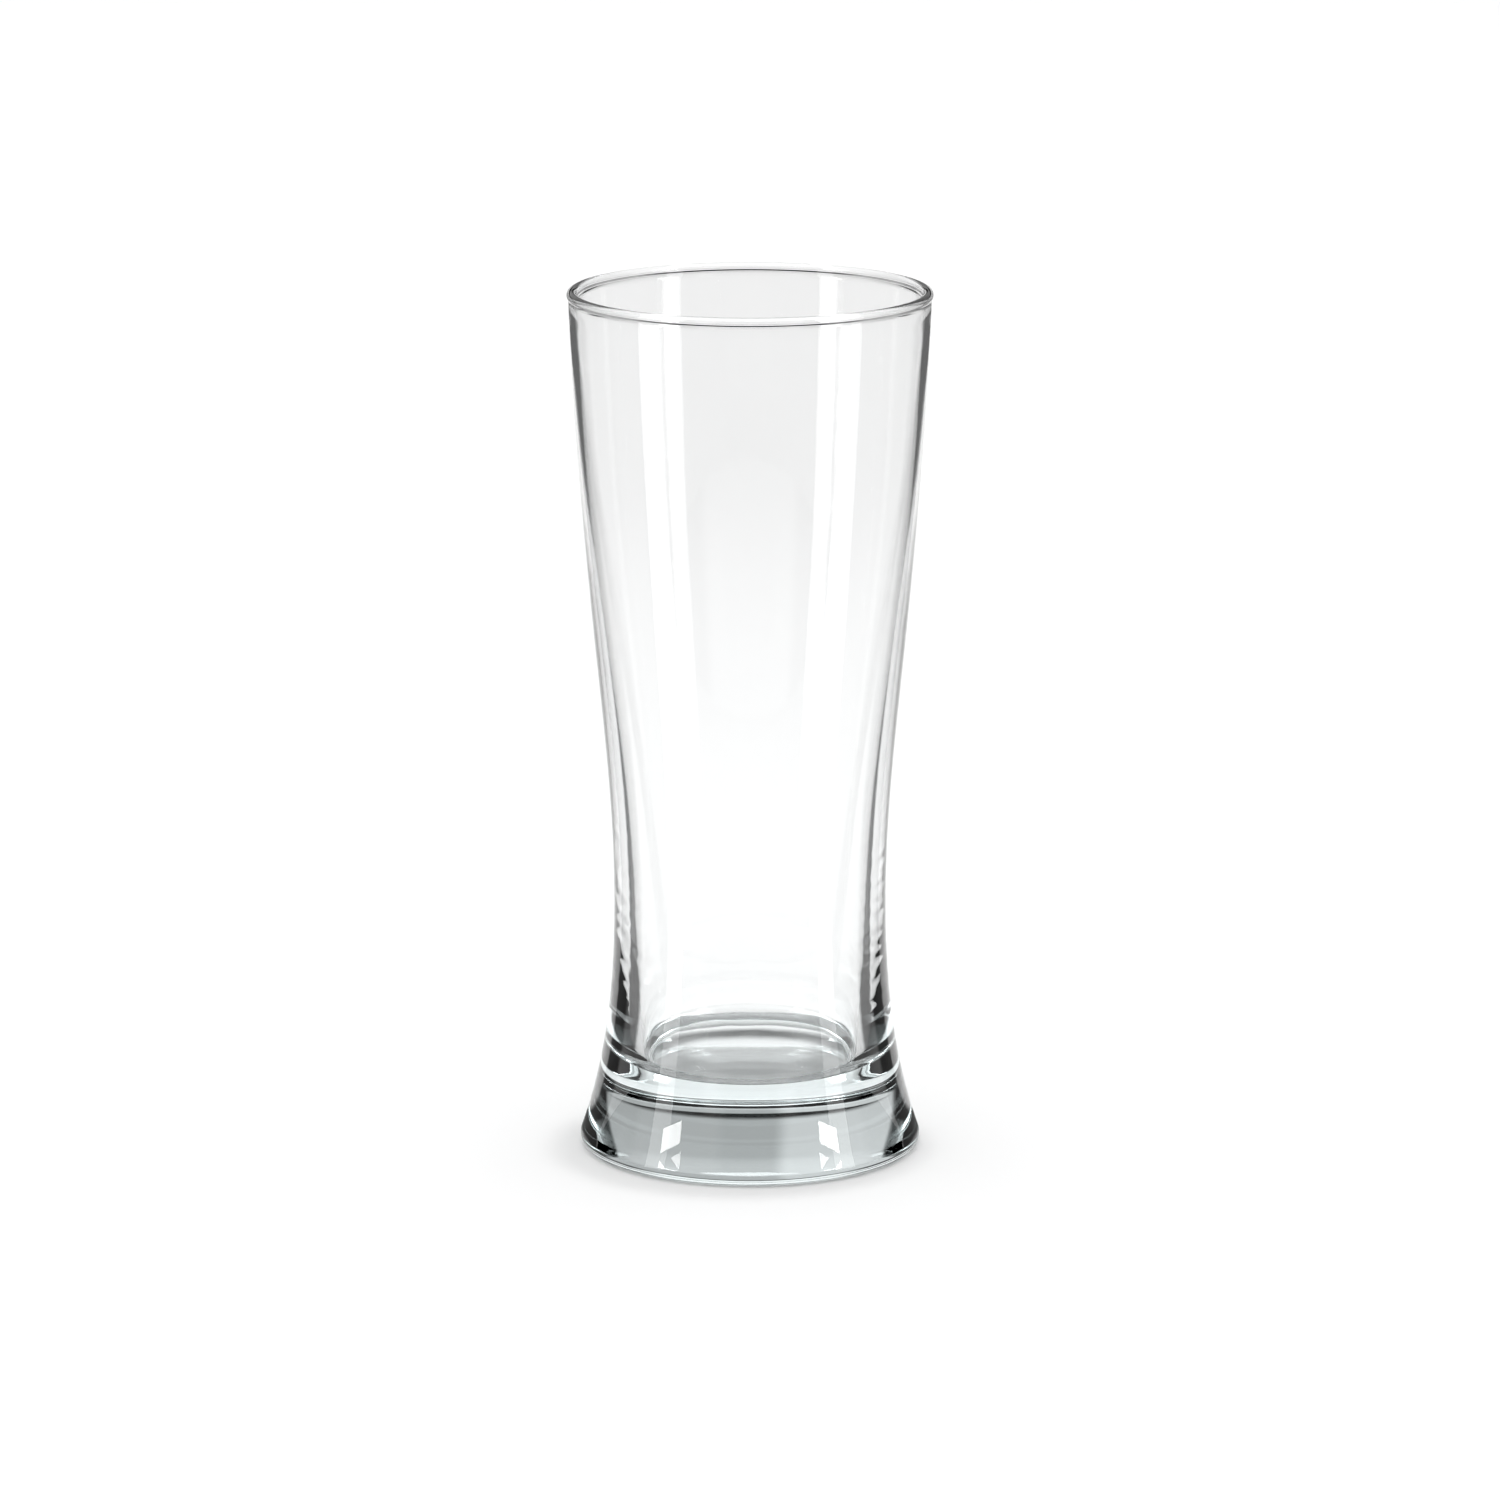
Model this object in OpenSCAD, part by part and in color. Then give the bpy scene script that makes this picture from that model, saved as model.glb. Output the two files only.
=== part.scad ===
// Pint beer glass with a flared bowl, a low waist, a thick solid base and a beaded rim.
// It stands on z = 0, centred on the Z axis. Every node is one zone of the same piece of
// glass, and the zones meet face to face on level planes.

/* [Overall] */
// Overall height
height = 185.5; // [176:0.5:196]
// Outer diameter over the beaded rim
rim_d = 77; // [75:0.1:79]
// Outer diameter where the wall runs into the rim
mouth_d = 76.4; // [74.5:0.1:77]
// Outer diameter half way up the bowl
belly_d = 66.9; // [65:0.1:68]
// Outer diameter at the waist
waist_d = 58.1; // [56:0.1:60]
// Outer diameter of the foot at its widest
foot_d = 73; // [70:0.1:76]

/* [Levels] */
// Height of the waist above the table
waist_z = 55; // [48:0.5:60]
// Height of the middle of the bowl above the table
belly_z = 115; // [105:0.5:125]
// Height of the middle of the well's floor above the table
base_t = 17.2; // [14:0.1:22]
// Height of the foot zone
foot_h = 8; // [6:0.5:12]
// Height at which the thick waist zone ends and the bowl begins
grip_top_z = 72; // [66:1:80]

/* [Wall] */
// Wall thickness just under the rim
mouth_wall = 1.7; // [1.4:0.05:1.9]
// Wall thickness half way up the bowl
belly_wall = 2.15; // [1.8:0.05:2.6]
// Wall thickness at the waist
waist_wall = 4.1; // [3:0.1:5]
// Diameter of the rounded bead at the rim
bead_d = 2.2; // [1.9:0.05:2.5]
// Radius of the corner between the wall and the floor of the well
well_corner_r = 3.5; // [2:0.1:4.5]
// Radius of the shallow dish that forms the floor of the well
floor_dish_r = 150; // [120:5:300]

/* [Foot] */
// Radius of the rounded heel at the foot's lower edge
heel_r = 2.2; // [1.5:0.1:4]
// Width of the flat ring that the glass stands on
bearing_w = 2.8; // [2:0.1:4]
// Depth of the shallow hollow under the foot
punt_h = 0.8; // [0.4:0.1:1.5]

/* [Flare] */
// Outward slope of the outside at the mouth, mm per mm of height
mouth_slope = 0.035; // [0.02:0.005:0.07]
// Outward slope of the outside half way up the bowl
belly_slope = 0.094; // [0.08:0.002:0.11]
// Outward slope of the inside half way up the bowl
belly_bore_slope = 0.132; // [0.12:0.002:0.14]
// Outward slope of the inside at the waist and in the well
well_slope = 0.03; // [0.02:0.002:0.05]
// Outward slope of the outside where it runs down into the heel
foot_slope = 0.35; // [0.2:0.01:0.4]

/* [Hidden] */
$fn = 96;

// Levels that follow from the driving dimensions
bead_r = bead_d / 2;
bead_z = height - bead_r;
neck_h = 1.4;
mouth_z = bead_z - neck_h;

// Heel: a round edge that meets the sloping side smoothly
foot_angle = atan(foot_slope);
heel_centre_r = foot_d / 2 - heel_r;
heel_top_z = heel_r + heel_r * sin(foot_angle);
heel_top_r = heel_centre_r + heel_r * cos(foot_angle);
punt_r = heel_centre_r - bearing_w;

// Rim: the bead stands a little proud of the wall, and the neck meets it at this angle
bead_centre_r = rim_d / 2 - bead_r;
neck_angle = -40;

// How finely the curves are followed
bowl_steps = 24;
waist_steps = 14;
base_steps = 4;
arc_steps = 8;
corner_rounds = 6;

// Well: the dished floor and the wall both run smoothly into the rounded corner
dish_z = base_t + floor_dish_r;
corner_z = corner_level(base_t + well_corner_r, corner_rounds);
corner_r = inside(corner_z) - well_corner_r;
dish_angle = asin(corner_r / (floor_dish_r - well_corner_r));
floor_edge_z = dish_z - floor_dish_r * cos(dish_angle);

glass_colour = [0.80, 0.90, 0.89, 0.45];

// Cubic curve from value a to value b over the run from p to q, with a given slope at each end
function ease(z, p, q, a, b, slope_p, slope_q) =
    let (l = q - p, u = (z - p) / l)
    a + (b - a) * (3 * u * u - 2 * u * u * u)
    + l * slope_p * (u * u * u - 2 * u * u + u)
    + l * slope_q * (u * u * u - u * u);

// Outside radius of the glass at a height above the heel
function outside(z) =
    z < waist_z ? ease(z, heel_top_z, waist_z, heel_top_r, waist_d / 2, -foot_slope, 0)
    : z < belly_z ? ease(z, waist_z, belly_z, waist_d / 2, belly_d / 2, 0, belly_slope)
    : ease(z, belly_z, mouth_z, belly_d / 2, mouth_d / 2, belly_slope, mouth_slope);

// Inside radius of the well at a height above its rounded corner
function inside(z) =
    let (waist_bore = waist_d / 2 - waist_wall,
         belly_bore = belly_d / 2 - belly_wall,
         mouth_bore = mouth_d / 2 - mouth_wall)
    z < waist_z ? waist_bore - (waist_z - z) * well_slope
    : z < belly_z ? ease(z, waist_z, belly_z, waist_bore, belly_bore, well_slope, belly_bore_slope)
    : ease(z, belly_z, mouth_z, belly_bore, mouth_bore, belly_bore_slope, mouth_slope);

// Height of the corner's centre that makes it touch both the wall and the dish, found in a few rounds
function corner_level(z, rounds) =
    rounds == 0 ? z
    : let (reach = floor_dish_r - well_corner_r, r = inside(z) - well_corner_r)
      corner_level(dish_z - sqrt(reach * reach - r * r), rounds - 1);

// Points up the outside and down the inside, from one level to another
function outside_up(from, to, steps) =
    [for (i = [0:steps]) let (z = from + (to - from) * i / steps) [outside(z), z]];
function inside_down(from, to, steps) =
    [for (i = [steps:-1:0]) let (z = from + (to - from) * i / steps) [inside(z), z]];

// Points on an arc about a centre, between two angles
function arc(centre_r, centre_z, r, from, to) =
    [for (i = [0:arc_steps]) let (a = from + (to - from) * i / arc_steps)
        [centre_r + r * cos(a), centre_z + r * sin(a)]];

// Rounded drinking edge, with the short neck that joins it to the wall
module rim_bead() {
    color(glass_colour)
    rotate_extrude()
    union() {
        translate([bead_centre_r, bead_z]) circle(bead_r);
        polygon([
            [inside(mouth_z), mouth_z],
            [outside(mouth_z), mouth_z],
            [bead_centre_r + bead_r * cos(neck_angle), bead_z + bead_r * sin(neck_angle)],
            [bead_centre_r - bead_r, bead_z]]);
    }
}

// Thin flaring wall of the bowl
module bowl_wall() {
    color(glass_colour)
    rotate_extrude()
    polygon(concat(
        outside_up(grip_top_z, mouth_z, bowl_steps),
        inside_down(grip_top_z, mouth_z, bowl_steps)));
}

// Wall at the waist, thickening down to the rounded corner of the well
module waist_wall() {
    corner_end = dish_angle - 90;
    color(glass_colour)
    rotate_extrude()
    polygon(concat(
        outside_up(floor_edge_z, grip_top_z, waist_steps),
        inside_down(corner_z, grip_top_z, waist_steps),
        arc(corner_r, corner_z, well_corner_r, corner_end / arc_steps, corner_end)));
}

// Solid glass under the well: its top face is the dished floor
module sham_base() {
    color(glass_colour)
    rotate_extrude()
    polygon(concat(
        [[0, foot_h]],
        outside_up(foot_h, floor_edge_z, base_steps),
        arc(0, dish_z, floor_dish_r, dish_angle - 90, -90)));
}

// Flared foot with its rounded heel, flat bearing ring and shallow hollow underneath
module foot() {
    dome_r = (punt_r * punt_r + punt_h * punt_h) / (2 * punt_h);
    dome_angle = asin(punt_r / dome_r);
    color(glass_colour)
    rotate_extrude()
    polygon(concat(
        [[0, foot_h]],
        arc(0, punt_h - dome_r, dome_r, 90, 90 - dome_angle),
        arc(heel_centre_r, heel_r, heel_r, -90, foot_angle),
        [for (i = [1:base_steps])
            let (z = heel_top_z + (foot_h - heel_top_z) * i / base_steps)
            [outside(z), z]]));
}

rim_bead();
bowl_wall();
waist_wall();
sham_base();
foot();
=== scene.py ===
"""Pint glass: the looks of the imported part, in metres, in the part's own frame.

The five CAD nodes are zones of one piece of glass, so one continuous closed surface stands for all of them.
"""

import math

import bpy
import numpy as np
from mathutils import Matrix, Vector, noise


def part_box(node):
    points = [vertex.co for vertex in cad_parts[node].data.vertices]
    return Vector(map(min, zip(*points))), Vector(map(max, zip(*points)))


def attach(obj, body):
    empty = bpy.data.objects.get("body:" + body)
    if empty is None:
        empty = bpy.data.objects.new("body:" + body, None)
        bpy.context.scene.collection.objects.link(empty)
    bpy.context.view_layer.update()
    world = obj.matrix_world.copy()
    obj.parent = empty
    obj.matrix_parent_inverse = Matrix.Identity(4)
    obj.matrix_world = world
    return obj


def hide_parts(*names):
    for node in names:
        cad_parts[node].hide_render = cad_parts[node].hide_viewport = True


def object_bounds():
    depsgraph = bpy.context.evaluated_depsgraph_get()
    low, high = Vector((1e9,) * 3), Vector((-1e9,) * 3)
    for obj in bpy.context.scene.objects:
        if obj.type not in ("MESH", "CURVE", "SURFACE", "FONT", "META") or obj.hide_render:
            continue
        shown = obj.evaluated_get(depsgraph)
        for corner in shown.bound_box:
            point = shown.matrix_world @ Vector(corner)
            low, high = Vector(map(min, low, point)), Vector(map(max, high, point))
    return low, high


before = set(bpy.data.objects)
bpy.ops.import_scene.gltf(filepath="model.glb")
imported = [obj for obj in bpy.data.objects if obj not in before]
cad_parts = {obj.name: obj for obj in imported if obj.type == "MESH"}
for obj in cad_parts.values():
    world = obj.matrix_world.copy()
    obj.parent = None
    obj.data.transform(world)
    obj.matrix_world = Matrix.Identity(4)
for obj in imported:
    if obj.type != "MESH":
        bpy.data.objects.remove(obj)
cad_low, cad_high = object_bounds()

MM = 0.001

# ---- Sizes taken from the frame -------------------------------------------------------------------------

HEIGHT = cad_high.z
RIM_RADIUS = cad_high.x
FOOT_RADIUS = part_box("foot")[1].x
FLOOR_EDGE_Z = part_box("waist_wall")[0].z
MOUTH_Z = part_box("rim_bead")[0].z

# ---- Sizes of the rounded edges -------------------------------------------------------------------------

BEAD_RADIUS = 1.1 * MM
HEEL_RADIUS = 2.2 * MM
ABOVE_HEEL = 1.4 * HEEL_RADIUS
CORNER_RADIUS = 3.5 * MM
ABOVE_CORNER = 0.985 * CORNER_RADIUS
DISH_RADIUS = 150 * MM
BEARING_WIDTH = 2.8 * MM
PUNT_HEIGHT = 0.8 * MM
NECK_ANGLE = -40

# ---- Fit of the walls, and the gaps left for fairing where they meet the heel and the corner -------------

WALL_DEGREE = 11
HEEL_GAP = 0.3 * MM
CORNER_GAP = 0.1 * MM

# ---- How finely the glass is meshed ---------------------------------------------------------------------

SEGMENTS = 256
LONGEST_STEP = 2.5 * MM
RIPPLED_STEP = 0.6 * MM
FINE_STEP = 0.05 * MM
MOST_TURN = math.radians(3)
FAIRING = 0.15 * MM

# ---- Chill marks: ripples in the outside of the wall, left where the mould was cold ----------------------

RIPPLE_DEPTH = 0.08 * MM
RIPPLE_HEIGHT = 2.0 * MM
RIPPLE_WIDTH = 6 * MM
FRONT_SHARE = 0.12
SIDE_FOCUS = 4
CHILL_START = 24 * MM
CHILL_RISE = 8 * MM
CHILL_END = 75 * MM
CHILL_FALL = 40 * MM

# ---- Glass ----------------------------------------------------------------------------------------------

GLASS_IOR = 1.52
TINT = (0.86, 0.975, 0.985, 1)
TINT_DENSITY = 9

# ---- Fine texture of the surface ------------------------------------------------------------------------

WAVE_DEPTH = 0.01 * MM
WAVE_STRENGTH = 0.5
WAVE_SCALE = 160
SMUDGE_SCALE = 70
SMUDGE_START = 0.5
SMUDGE_END = 0.8
SMUDGE_ROUGHNESS = 0.04
NOISE_DETAIL = 3


# ---- Outline of the glass -------------------------------------------------------------------------------

def wall_curve(side, lowest, *nodes):
    """Smooth curve of radius against height, fitted to one side of the CAD walls: 1 outside, -1 inside."""
    rings = set()
    for node in nodes:
        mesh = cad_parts[node].data
        for face in mesh.polygons:
            outward = Vector((face.center.x, face.center.y, 0)).normalized()
            if side * face.normal.dot(outward) > 0.5:
                for point in [mesh.vertices[i].co for i in face.vertices]:
                    rings.add((round(point.z, 5), round(math.hypot(point.x, point.y), 5)))
    heights, radii = np.array(sorted(ring for ring in rings if ring[0] > lowest)).T
    return np.polynomial.Polynomial.fit(heights, radii, WALL_DEGREE)


def arc(centre_r, centre_z, radius, start, end, steps=48):
    """Points (r, z) on an arc between two angles in degrees."""
    angles = np.radians(np.linspace(start, end, steps))
    return np.column_stack([centre_r + radius * np.cos(angles), centre_z + radius * np.sin(angles)])


def wall_points(curve, start, end, steps=400):
    """Points (r, z) on a fitted wall between two heights."""
    heights = np.linspace(start, end, steps)
    return np.column_stack([curve(heights), heights])


def outline():
    """Half section of the glass: from the middle of the underside, up the outside and down into the well."""
    outside = wall_curve(1, ABOVE_HEEL, "foot", "sham_base", "waist_wall", "bowl_wall")
    inside = wall_curve(-1, FLOOR_EDGE_Z + ABOVE_CORNER, "waist_wall", "bowl_wall")
    heel_r = FOOT_RADIUS - HEEL_RADIUS
    punt_r = heel_r - BEARING_WIDTH
    dome_r = (punt_r ** 2 + PUNT_HEIGHT ** 2) / (2 * PUNT_HEIGHT)
    dome_angle = math.degrees(math.asin(punt_r / dome_r))
    foot_angle = math.degrees(math.atan(-outside.deriv()(ABOVE_HEEL)))
    heel_top = HEEL_RADIUS * (1 + math.sin(math.radians(foot_angle)))
    bead_r = RIM_RADIUS - BEAD_RADIUS
    bead_z = HEIGHT - BEAD_RADIUS
    corner_r = inside(FLOOR_EDGE_Z + CORNER_RADIUS) - CORNER_RADIUS
    dish_angle = math.degrees(math.asin(corner_r / (DISH_RADIUS - CORNER_RADIUS)))
    corner_z = FLOOR_EDGE_Z + CORNER_RADIUS * math.cos(math.radians(dish_angle))
    dish_z = FLOOR_EDGE_Z + DISH_RADIUS * math.cos(math.radians(dish_angle))
    return np.vstack([
        arc(0, PUNT_HEIGHT - dome_r, dome_r, 90, 90 - dome_angle),
        arc(heel_r, HEEL_RADIUS, HEEL_RADIUS, -90, foot_angle),
        wall_points(outside, heel_top + HEEL_GAP, MOUTH_Z),
        arc(bead_r, bead_z, BEAD_RADIUS, NECK_ANGLE, 180),
        wall_points(inside, MOUTH_Z, corner_z + CORNER_GAP),
        arc(corner_r, corner_z, CORNER_RADIUS, 0, dish_angle - 90),
        arc(0, dish_z, DISH_RADIUS, dish_angle - 90, -90),
    ])


def faired(points):
    """The same outline in small even steps, with its kinks rounded off as fire-polishing does."""
    lengths = np.hypot(*np.diff(points, axis=0).T)
    along = np.concatenate([[0], np.cumsum(lengths)])
    even = np.linspace(0, along[-1], int(along[-1] / FINE_STEP))
    fine = np.column_stack([np.interp(even, along, points[:, axis]) for axis in (0, 1)])
    reach = int(4 * FAIRING / FINE_STEP)
    offsets = np.arange(-reach, reach + 1) * FINE_STEP
    weights = np.exp(-0.5 * (offsets / FAIRING) ** 2)
    weights /= weights.sum()
    soft = np.column_stack([np.convolve(fine[:, axis], weights, "same") for axis in (0, 1)])
    soft[:reach] = fine[:reach]
    soft[-reach:] = fine[-reach:]
    return soft


def chill(z):
    """How strongly the cold mould has rippled the glass at a height: most at the waist, none at the rim."""
    rise = min(max((z - CHILL_START) / CHILL_RISE, 0), 1)
    fall = min(max((CHILL_END - z) / CHILL_FALL, 0), 1)
    return rise * fall


def thinned(points):
    """Keeps a point wherever the outline has turned or run far enough since the last kept one."""
    steps = np.diff(points, axis=0)
    headings = np.unwrap(np.arctan2(steps[:, 1], steps[:, 0]))
    rim = int(np.argmax(points[:, 1]))
    kept = [0]
    for i in range(1, len(points) - 1):
        longest = RIPPLED_STEP if i < rim and chill(points[i, 1]) > 0 else LONGEST_STEP
        run = math.dist(points[i], points[kept[-1]])
        turn = abs(headings[i] - headings[kept[-1]])
        if run >= longest or turn >= MOST_TURN:
            kept.append(i)
    return points[kept + [len(points) - 1]]


# ---- The glass ------------------------------------------------------------------------------------------

def rippled(r, z, angle, outer):
    """The point at a radius, height and angle, with the outer face's faint ripples added to its radius."""
    x, y = r * math.cos(angle), r * math.sin(angle)
    strength = chill(z) * (FRONT_SHARE + (1 - FRONT_SHARE) * math.cos(angle) ** SIDE_FOCUS)
    if outer and strength > 0:
        ripple = noise.noise(Vector((x / RIPPLE_WIDTH, y / RIPPLE_WIDTH, z / RIPPLE_HEIGHT)))
        r += RIPPLE_DEPTH * strength * ripple
        x, y = r * math.cos(angle), r * math.sin(angle)
    return x, y, z


def glass_mesh():
    """One closed surface: the outline spun round, with one point in the middle at each end."""
    section = thinned(faired(outline()))
    rows = section[1:-1]
    angles = np.linspace(0, 2 * math.pi, SEGMENTS, endpoint=False)
    rim = int(np.argmax(rows[:, 1]))
    points = [rippled(r, z, a, i < rim) for i, (r, z) in enumerate(rows) for a in angles]
    points.append((0, 0, section[0, 1]))
    points.append((0, 0, section[-1, 1]))
    bottom = len(points) - 2
    top = len(points) - 1
    last = (len(rows) - 1) * SEGMENTS
    faces = []
    for i in range(SEGMENTS):
        j = (i + 1) % SEGMENTS
        faces.append((bottom, j, i))
        faces.append((top, last + i, last + j))
        for row in range(len(rows) - 1):
            a = row * SEGMENTS
            b = a + SEGMENTS
            faces.append((a + i, a + j, b + j, b + i))
    mesh = bpy.data.meshes.new("glass")
    mesh.from_pydata(points, [], faces)
    mesh.update()
    mesh.polygons.foreach_set("use_smooth", [True] * len(mesh.polygons))
    return mesh


def noise_texture(tree, place, scale):
    """Soft random values, a few features to each 1 / scale of a metre."""
    node = tree.nodes.new("ShaderNodeTexNoise")
    node.inputs["Scale"].default_value = scale
    node.inputs["Detail"].default_value = NOISE_DETAIL
    tree.links.new(place, node.inputs["Vector"])
    return node.outputs[0]


def glass_material():
    """Clear soda-lime glass: faintly wavy and smudged on the surface, with a blue-green tint in the bulk."""
    material = bpy.data.materials.new("clear_glass")
    material.use_nodes = True
    nodes = material.node_tree.nodes
    links = material.node_tree.links
    shader = nodes["Principled BSDF"]
    shader.inputs["Base Color"].default_value = (1, 1, 1, 1)
    shader.inputs["Transmission Weight"].default_value = 1
    shader.inputs["IOR"].default_value = GLASS_IOR

    place = nodes.new("ShaderNodeTexCoord").outputs["Object"]
    smudges = nodes.new("ShaderNodeMapRange")
    smudges.inputs["From Min"].default_value = SMUDGE_START
    smudges.inputs["From Max"].default_value = SMUDGE_END
    smudges.inputs["To Max"].default_value = SMUDGE_ROUGHNESS
    links.new(noise_texture(material.node_tree, place, SMUDGE_SCALE), smudges.inputs["Value"])
    links.new(smudges.outputs["Result"], shader.inputs["Roughness"])
    waviness = nodes.new("ShaderNodeBump")
    waviness.inputs["Strength"].default_value = WAVE_STRENGTH
    waviness.inputs["Distance"].default_value = WAVE_DEPTH
    links.new(noise_texture(material.node_tree, place, WAVE_SCALE), waviness.inputs["Height"])
    links.new(waviness.outputs["Normal"], shader.inputs["Normal"])

    bulk = nodes.new("ShaderNodeVolumeAbsorption")
    bulk.inputs["Color"].default_value = TINT
    bulk.inputs["Density"].default_value = TINT_DENSITY
    links.new(bulk.outputs["Volume"], nodes["Material Output"].inputs["Volume"])
    return material


def make_glass():
    glass = bpy.data.objects.new("pint_glass", glass_mesh())
    bpy.context.scene.collection.objects.link(glass)
    glass.data.materials.append(glass_material())
    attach(glass, "root")
    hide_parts("rim_bead", "bowl_wall", "waist_wall", "sham_base", "foot")
    return glass


# ---- Studio ---------------------------------------------------------------------------------------------

# Soft sources and dark gaps of the studio, as seen from the glass. Azimuth is measured from the camera's
# side, positive to the right, and elevation from the floor. Columns: azimuth, its half width, its
# softness, elevation, its half height, its softness (all in degrees) and brightness.
STUDIO_PANELS = {
    "overhead": (0, 80, 20, 68, 24, 8, 1.9),
    "overhead_back": (180, 80, 20, 78, 12, 8, 1.1),
    "backdrop": (180, 48, 4, 21, 11.5, 1.5, 0.43),
    "backdrop_left": (-150, 20, 5, 21, 11.5, 1.5, 0.2),
    "backdrop_top": (180, 48, 10, 29, 3, 3, 0.15),
    "backdrop_foot": (180, 20, 15, 2.5, 2.5, 1, 1.1),
    "front": (0, 30, 10, 3, 5, 3, 0.9),
    "fill_left": (-55, 27, 12, 18, 13, 6, 0.6),
    "fill_right": (55, 27, 12, 18, 13, 6, 0.6),
    "side_left": (-77, 12, 6, 28, 6, 4, 0.8),
    "side_right": (77, 12, 6, 28, 6, 4, 0.8),
}

# Lamps that show in the glass. Columns: azimuth, distance, lowest and highest edge, width and brightness.
SOFTBOXES = {
    "strip_left": (-60, 0.15, 0, 0.2, 0.035, 2.5),
    "strip_right": (60, 0.15, 0, 0.2, 0.035, 2.5),
    "key_left": (-57, 1.0, 0.175, 0.24, 0.24, 12),
    "key_right": (57, 1.0, 0.175, 0.24, 0.24, 12),
    "top_left": (-59, 1.0, 0.27, 0.3, 0.36, 8),
    "top_right": (59, 1.0, 0.27, 0.3, 0.36, 8),
}

# Lamps that only light the floor. Columns: size, place, power and whether the glass shades them.
FLOOR_LAMPS = {
    "wash": (12, (0, 0, 3), 580, False),
    "contact": (0.15, (0.05, 0.08, 4), 24, True),
}

# Camera: tilt in degrees, distance and height of the point it looks at in metres, and lens in millimetres.
CAMERA_TILT = 12.86
CAMERA_DISTANCE = 1.448
CAMERA_AIM = 0.0864
CAMERA_LENS = 163.2

# The paper on the floor, with painted shade. Each band of painted shade is dark between these two soft
# sides: azimuth from straight behind in degrees, with the band's bend added for each metre out. The share
# beyond is how much of its darkness reaches further round.
PAPER_SHADE = 0.9
PAPER_ROUGHNESS = 0.9
SHADE_BAND_BEND = 40
SHADE_BAND_INNER = (53, 57)
SHADE_BAND_OUTER = (78, 72)
SHADE_BAND_DARKNESS = 0.85
SHADE_BEYOND_BAND = 0.2
# Painted shade that deepens with distance, seen only through the glass: its range in metres and its
# strength.
FALLOFF_SHADE_RANGE = (0.02, 0.8)
FALLOFF_SHADE = 0.16


def calculate(tree, operation, *inputs):
    """Output of a Math node fed with numbers or sockets."""
    node = tree.nodes.new("ShaderNodeMath")
    node.operation = operation
    for socket, source in zip(node.inputs, inputs):
        if isinstance(source, (int, float)):
            socket.default_value = source
        else:
            tree.links.new(source, socket)
    return node.outputs[0]


def smooth_step(tree, source, start, end):
    """0 before the start value, 1 after the end value and smooth between them."""
    node = tree.nodes.new("ShaderNodeMapRange")
    node.interpolation_type = "SMOOTHSTEP"
    tree.links.new(source, node.inputs["Value"])
    node.inputs["From Min"].default_value = start
    node.inputs["From Max"].default_value = end
    return node.outputs["Result"]


def floor_paper_with_painted_shade():
    """Pale paper with painted shade that shows only in and through the glass.

    Light that has bounced inside the glass sees a dark band of painted shade on each side of the way behind
    it, and light that has passed through the glass sees painted shade that deepens with distance.
    """
    material = bpy.data.materials.new("floor_paper_with_painted_shade")
    material.use_nodes = True
    tree = material.node_tree
    place = tree.nodes.new("ShaderNodeSeparateXYZ")
    tree.links.new(tree.nodes.new("ShaderNodeTexCoord").outputs["Object"], place.inputs[0])
    aside = calculate(tree, "ABSOLUTE", place.outputs["X"])
    behind = place.outputs["Y"]
    azimuth = calculate(tree, "DEGREES", calculate(tree, "ARCTAN2", aside, behind))
    behind_squared = calculate(tree, "MULTIPLY", behind, behind)
    distance = calculate(tree, "SQRT", calculate(tree, "MULTIPLY_ADD", aside, aside, behind_squared))
    path = tree.nodes.new("ShaderNodeLightPath")

    # Painted shade: a dark band on each side of the way behind the glass, seen only by light that has
    # bounced inside it, in place of a dark studio at the sides.
    bent = calculate(tree, "MULTIPLY_ADD", distance, SHADE_BAND_BEND, azimuth)
    inner_side = smooth_step(tree, bent, *SHADE_BAND_INNER)
    outer_side = calculate(tree, "MULTIPLY_ADD", smooth_step(tree, bent, *SHADE_BAND_OUTER), 1 - SHADE_BEYOND_BAND, SHADE_BEYOND_BAND)
    bounced = calculate(tree, "GREATER_THAN", path.outputs["Glossy Depth"], 0.5)
    painted_shade_band = calculate(tree, "MULTIPLY", calculate(tree, "MULTIPLY", inner_side, outer_side), bounced)
    band_shade_factor = calculate(tree, "MULTIPLY_ADD", painted_shade_band, -SHADE_BAND_DARKNESS, 1)

    # Painted shade: the paper grows darker with distance, only to light that has passed through the glass.
    passed = calculate(tree, "GREATER_THAN", path.outputs["Transmission Depth"], 0.5)
    far = calculate(tree, "MULTIPLY", smooth_step(tree, distance, *FALLOFF_SHADE_RANGE), passed)
    falloff_shade_factor = calculate(tree, "MULTIPLY_ADD", far, -FALLOFF_SHADE, 1)

    shade = calculate(tree, "MULTIPLY", calculate(tree, "MULTIPLY", band_shade_factor, falloff_shade_factor), PAPER_SHADE)
    shader = tree.nodes["Principled BSDF"]
    tree.links.new(shade, shader.inputs["Base Color"])
    shader.inputs["Roughness"].default_value = PAPER_ROUGHNESS
    shader.inputs["Specular IOR Level"].default_value = 0
    return material


def make_floor():
    """Pale floor, plain to the camera and wide enough to fill the view; its paper carries painted shade seen
    in and through the glass.
    """
    reach = 6
    mesh = bpy.data.meshes.new("floor")
    corners = [(-reach, -reach, 0), (reach, -reach, 0), (reach, reach, 0), (-reach, reach, 0)]
    mesh.from_pydata(corners, [], [(0, 1, 2, 3)])
    floor = bpy.data.objects.new("floor", mesh)
    bpy.context.scene.collection.objects.link(floor)
    floor.data.materials.append(floor_paper_with_painted_shade())


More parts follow.
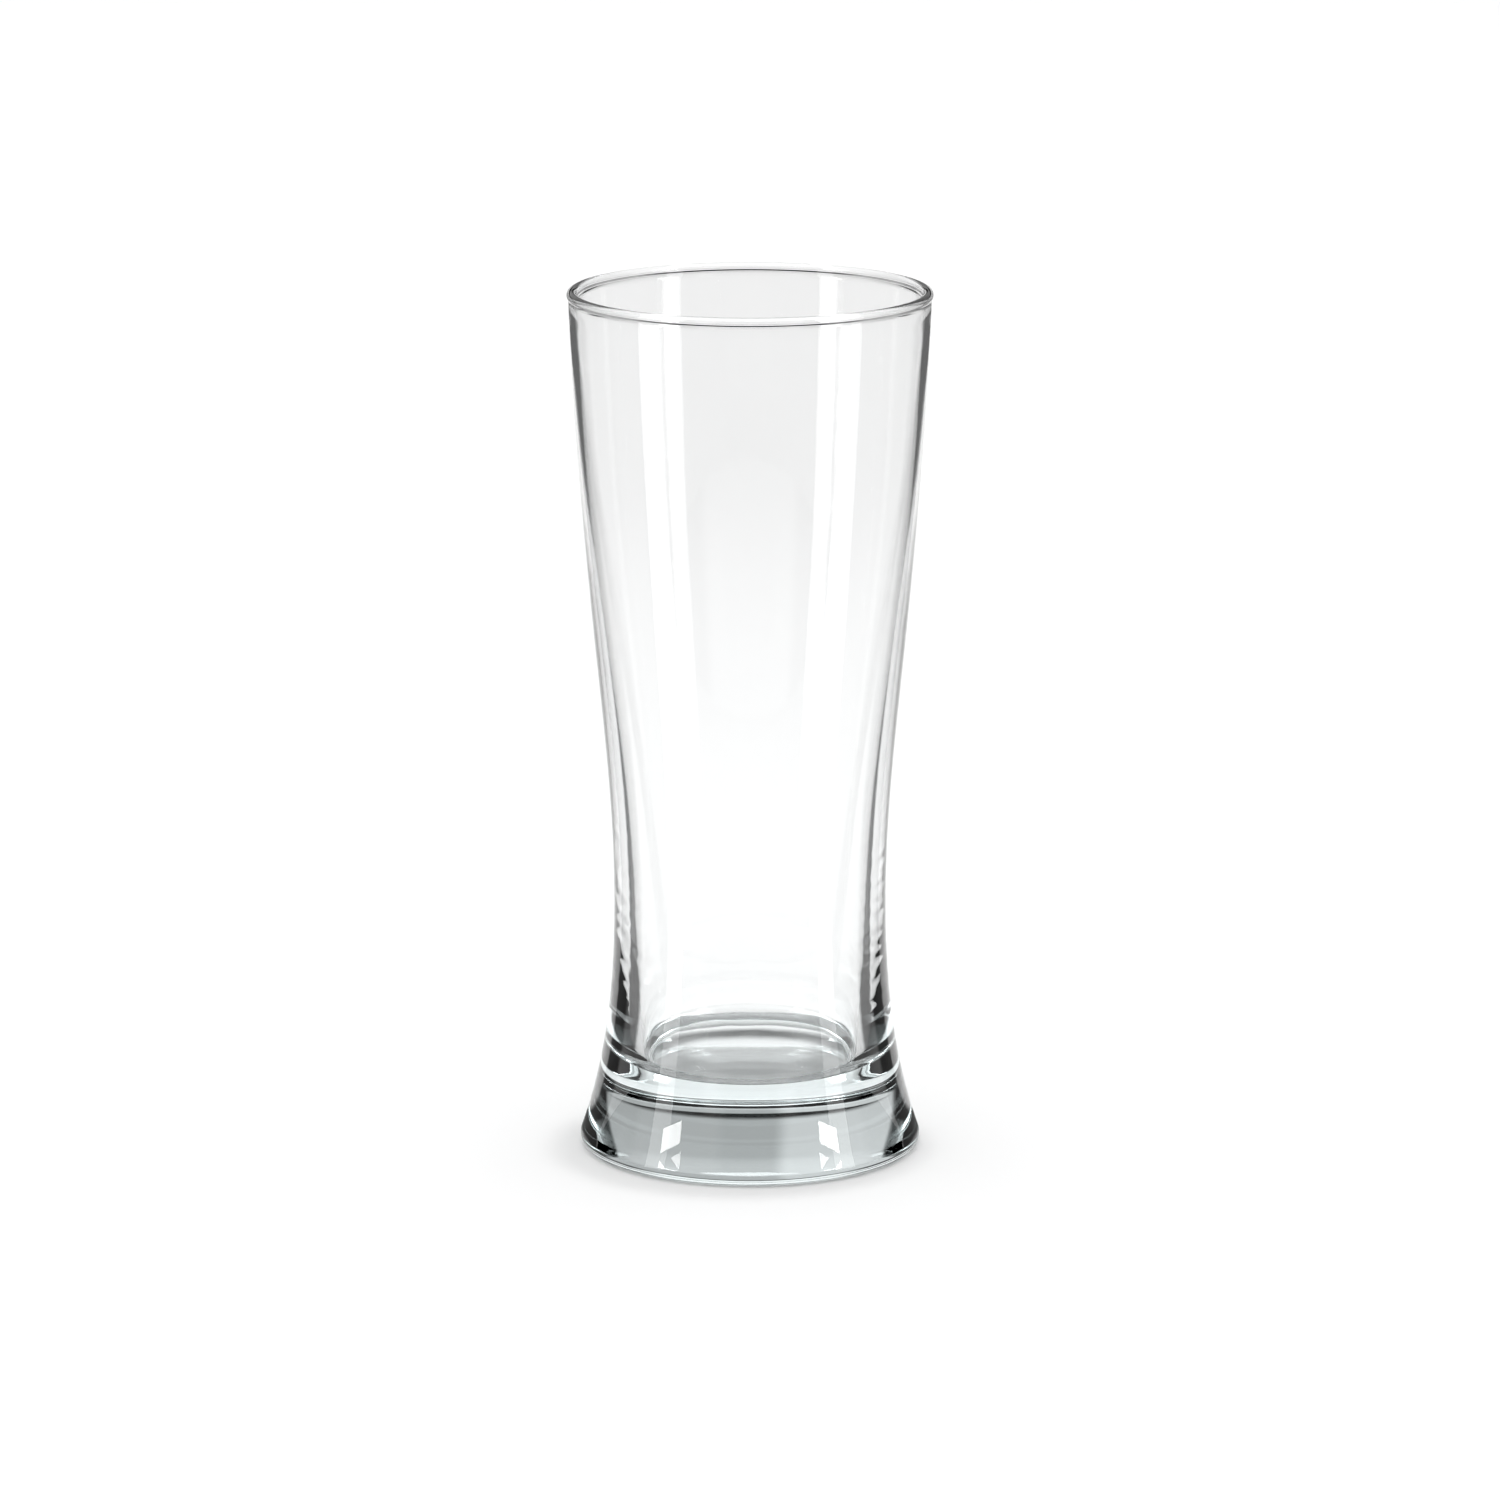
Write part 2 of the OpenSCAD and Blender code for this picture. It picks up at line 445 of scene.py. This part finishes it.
def make_world():
    """Studio drawn by direction: soft panels on a dark surround."""
    world = bpy.data.worlds.new("studio")
    bpy.context.scene.world = world
    world.use_nodes = True
    world.cycles_visibility.diffuse = False
    tree = world.node_tree
    direction = tree.nodes.new("ShaderNodeSeparateXYZ")
    tree.links.new(tree.nodes.new("ShaderNodeTexCoord").outputs["Generated"], direction.inputs[0])
    x, y, z = direction.outputs
    azimuth = calculate(tree, "DEGREES", calculate(tree, "ARCTAN2", x, calculate(tree, "MULTIPLY", y, -1)))
    elevation = calculate(tree, "DEGREES", calculate(tree, "ARCSINE", z))
    total = 0.0
    for around, half_width, soft_x, up, half_height, soft_y, brightness in STUDIO_PANELS.values():
        offset = calculate(tree, "SUBTRACT", azimuth, around)
        turned = calculate(tree, "ABSOLUTE", calculate(tree, "WRAP", offset, 180, -180))
        raised = calculate(tree, "ABSOLUTE", calculate(tree, "SUBTRACT", elevation, up))
        wide = smooth_step(tree, turned, half_width + soft_x, half_width)
        tall = smooth_step(tree, raised, half_height + soft_y, half_height)
        panel = calculate(tree, "MULTIPLY", calculate(tree, "MULTIPLY", wide, tall), brightness)
        total = calculate(tree, "ADD", total, panel)
    tree.links.new(total, tree.nodes["Background"].inputs["Color"])


def area_lamp(name, width, height, power):
    data = bpy.data.lights.new(name, "AREA")
    data.shape = "RECTANGLE"
    data.size = width
    data.size_y = height
    data.energy = power
    lamp = bpy.data.objects.new(name, data)
    bpy.context.scene.collection.objects.link(lamp)
    lamp.visible_camera = False
    return lamp


def show_only_mirrored(light):
    """Hides a lamp from light that has come straight through the glass, without a reflection."""
    light.use_nodes = True
    tree = light.node_tree
    path = tree.nodes.new("ShaderNodeLightPath")
    mirrored = calculate(tree, "GREATER_THAN", path.outputs["Glossy Depth"], 0.5)
    tree.links.new(mirrored, tree.nodes["Emission"].inputs["Strength"])


def make_lamps():
    for name, (azimuth, distance, lowest, highest, width, brightness) in SOFTBOXES.items():
        angle = math.radians(azimuth)
        height = highest - lowest
        lamp = area_lamp(name, width, height, brightness * width * height * math.pi)
        lamp.location = (distance * math.sin(angle), -distance * math.cos(angle), (lowest + highest) / 2)
        lamp.rotation_euler = (math.pi / 2, 0, angle)
        lamp.visible_diffuse = False
        show_only_mirrored(lamp.data)
    for name, (size, place, power, shaded) in FLOOR_LAMPS.items():
        lamp = area_lamp(name, size, size, power)
        lamp.location = place
        lamp.data.use_shadow = shaded
        lamp.visible_glossy = False
        lamp.visible_transmission = False


def make_camera():
    """Long lens, looking a little down at the glass."""
    tilt = math.radians(CAMERA_TILT)
    aim = Vector((0, 0, CAMERA_AIM))
    data = bpy.data.cameras.new("camera")
    data.sensor_width = 36
    data.lens = CAMERA_LENS
    data.clip_start = 0.1
    data.clip_end = 50
    camera = bpy.data.objects.new("camera", data)
    bpy.context.scene.collection.objects.link(camera)
    camera.location = aim + CAMERA_DISTANCE * Vector((0, -math.cos(tilt), math.sin(tilt)))
    camera.rotation_euler = (math.pi / 2 - tilt, 0, 0)
    bpy.context.scene.camera = camera


make_glass()
make_floor()
make_world()
make_lamps()
make_camera()
bpy.context.scene.view_settings.view_transform = "Standard"
